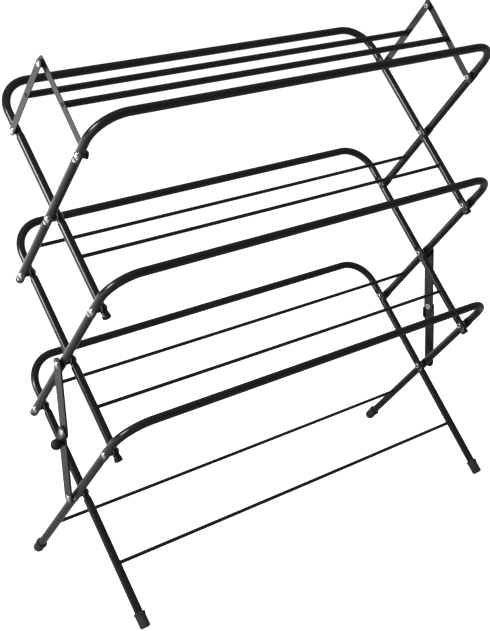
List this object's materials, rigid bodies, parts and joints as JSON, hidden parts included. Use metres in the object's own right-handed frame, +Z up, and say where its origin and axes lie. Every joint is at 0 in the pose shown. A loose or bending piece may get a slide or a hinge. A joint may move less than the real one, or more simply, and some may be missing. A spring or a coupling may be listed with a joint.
{
  "type": "clothes drying rack",
  "caption": "Folding scissor-leg clothes airer with stacked tiers of round-cornered tube rails, hanging wires, a hinged rod roof and folding side braces.",
  "frame": {"origin": "centre of the object's outline on the floor plane, locked open", "axes": "+Z up, +X along the rails with the knob at the -X end, -Y towards the front, where the outer frames' rails are"},
  "size_m": [0.7754, 0.3172, 0.811],
  "materials": {
    "frame_paint": "gloss black powder coat",
    "wire_paint": "gloss black coated wire",
    "strip_paint": "gloss black flat strip",
    "rod_paint": "gloss black rod",
    "brace_paint": "gloss black pressed plate",
    "rivet_zinc": "bright zinc plated",
    "spacer_nylon": "black moulded bush",
    "foot_rubber": "matte dark grey moulded cap",
    "plug_plastic": "black moulded end plug",
    "knob_plastic": "satin black ball knob"
  },
  "bodies": {
    "lower_outer": {"outer_frame_bottom": "frame_paint", "outer_wire_bottom": "wire_paint", "outer_foot_left": "foot_rubber", "outer_foot_right": "foot_rubber", "pivot_rivets_bottom": "rivet_zinc", "pivot_spacers_bottom": "spacer_nylon", "front_rivets_lower": "rivet_zinc", "front_spacers_lower": "spacer_nylon"},
    "lower_inner": {"inner_frame_bottom": "frame_paint", "inner_wire_bottom": "wire_paint", "inner_foot_left": "foot_rubber", "inner_foot_right": "foot_rubber"},
    "middle_outer": {"outer_frame_middle": "frame_paint", "outer_wire_middle": "wire_paint", "outer_plugs_middle": "plug_plastic", "pivot_rivets_middle": "rivet_zinc", "pivot_spacers_middle": "spacer_nylon", "brace_top_spacers": "spacer_nylon", "rear_rivets_lower": "rivet_zinc", "rear_spacers_lower": "spacer_nylon", "front_rivets_upper": "rivet_zinc", "front_spacers_upper": "spacer_nylon"},
    "middle_inner": {"inner_frame_middle": "frame_paint", "inner_wire_middle": "wire_paint", "inner_plugs_middle": "plug_plastic"},
    "upper_outer": {"outer_frame_top": "frame_paint", "outer_wire_top": "wire_paint", "outer_plugs_top": "plug_plastic", "pivot_rivets_top": "rivet_zinc", "pivot_spacers_top": "spacer_nylon", "rear_rivets_upper": "rivet_zinc", "rear_spacers_upper": "spacer_nylon", "front_strip_rivets": "rivet_zinc", "front_strip_spacers": "spacer_nylon"},
    "upper_inner": {"inner_frame_top": "frame_paint", "inner_wire_top": "wire_paint", "inner_plugs_top": "plug_plastic", "rear_strip_rivets": "rivet_zinc", "rear_strip_spacers": "spacer_nylon"},
    "front_ladder": {"front_strip_left": "strip_paint", "front_strip_right": "strip_paint", "front_roof_rod": "rod_paint", "front_rod_rivets": "rivet_zinc"},
    "rear_ladder": {"rear_strip_left": "strip_paint", "rear_strip_right": "strip_paint", "rear_roof_rod": "rod_paint", "rear_rod_rivets": "rivet_zinc", "apex_rivets": "rivet_zinc", "apex_spacers": "spacer_nylon"},
    "left_brace_top": {"brace_upper_left": "brace_paint"},
    "left_brace_foot": {"brace_lower_left": "brace_paint", "brace_hinge_rivet_left": "rivet_zinc", "brace_foot_rivet_left": "rivet_zinc", "brace_foot_spacer_left": "spacer_nylon", "brace_knob": "knob_plastic"},
    "right_brace_top": {"brace_upper_right": "brace_paint"},
    "right_brace_foot": {"brace_lower_right": "brace_paint", "brace_hinge_rivet_right": "rivet_zinc", "brace_foot_rivet_right": "rivet_zinc", "brace_foot_spacer_right": "spacer_nylon"}
  },
  "joints": [
    {"name": "fold", "type": "hinge", "parent": "lower_outer", "child": "lower_inner", "pos_m": [0.00835, 0, 0.16252], "axis": [-1, 0, 0], "range_deg": [0, 84]},
    {"name": "lower_front_pivot", "type": "hinge", "parent": "lower_outer", "child": "middle_inner", "pos_m": [0.00835, -0.09996, 0.2699], "axis": [-1, 0, 0], "range_deg": [0, 84]},
    {"name": "lower_rear_pivot", "type": "hinge", "parent": "lower_inner", "child": "middle_outer", "pos_m": [0.00835, 0.09996, 0.2699], "axis": [1, 0, 0], "range_deg": [0, 84]},
    {"name": "upper_front_pivot", "type": "hinge", "parent": "middle_outer", "child": "upper_inner", "pos_m": [0.00835, -0.09996, 0.48465], "axis": [-1, 0, 0], "range_deg": [0, 84]},
    {"name": "upper_rear_pivot", "type": "hinge", "parent": "middle_inner", "child": "upper_outer", "pos_m": [0.00835, 0.09996, 0.48465], "axis": [1, 0, 0], "range_deg": [0, 84]},
    {"name": "front_roof_pivot", "type": "hinge", "parent": "upper_outer", "child": "front_ladder", "pos_m": [0.00835, -0.09743, 0.6967], "axis": [-1, 0, 0], "range_deg": [0, 84]},
    {"name": "rear_roof_pivot", "type": "hinge", "parent": "upper_inner", "child": "rear_ladder", "pos_m": [0.00835, 0.09743, 0.6967], "axis": [1, 0, 0], "range_deg": [0, 84]},
    {"name": "left_brace_pivot", "type": "hinge", "parent": "middle_outer", "child": "left_brace_top", "pos_m": [0.00835, 0, 0.37728], "axis": [1, 0, 0], "range_deg": [0, 41.14]},
    {"name": "right_brace_pivot", "type": "hinge", "parent": "middle_outer", "child": "right_brace_top", "pos_m": [0.00835, 0, 0.37728], "axis": [1, 0, 0], "range_deg": [0, 41.14]},
    {"name": "left_brace_hinge", "type": "hinge", "parent": "left_brace_top", "child": "left_brace_foot", "pos_m": [0.00835, 0, 0.2699], "axis": [-1, 0, 0], "range_deg": [0, 166.24]},
    {"name": "right_brace_hinge", "type": "hinge", "parent": "right_brace_top", "child": "right_brace_foot", "pos_m": [0.00835, 0, 0.2699], "axis": [-1, 0, 0], "range_deg": [0, 166.24]}
  ],
  "couplings": [
    {"joint": "lower_front_pivot", "follows": "fold", "ratio": 1},
    {"joint": "lower_rear_pivot", "follows": "fold", "ratio": 1},
    {"joint": "upper_front_pivot", "follows": "fold", "ratio": 1},
    {"joint": "upper_rear_pivot", "follows": "fold", "ratio": 1},
    {"joint": "front_roof_pivot", "follows": "fold", "ratio": 1},
    {"joint": "rear_roof_pivot", "follows": "fold", "ratio": 1},
    {"joint": "left_brace_pivot", "follows": "fold", "ratio": 0.4892},
    {"joint": "right_brace_pivot", "follows": "fold", "ratio": 0.4892},
    {"joint": "left_brace_hinge", "follows": "fold", "ratio": 1.9784},
    {"joint": "right_brace_hinge", "follows": "fold", "ratio": 1.9784}
  ]
}
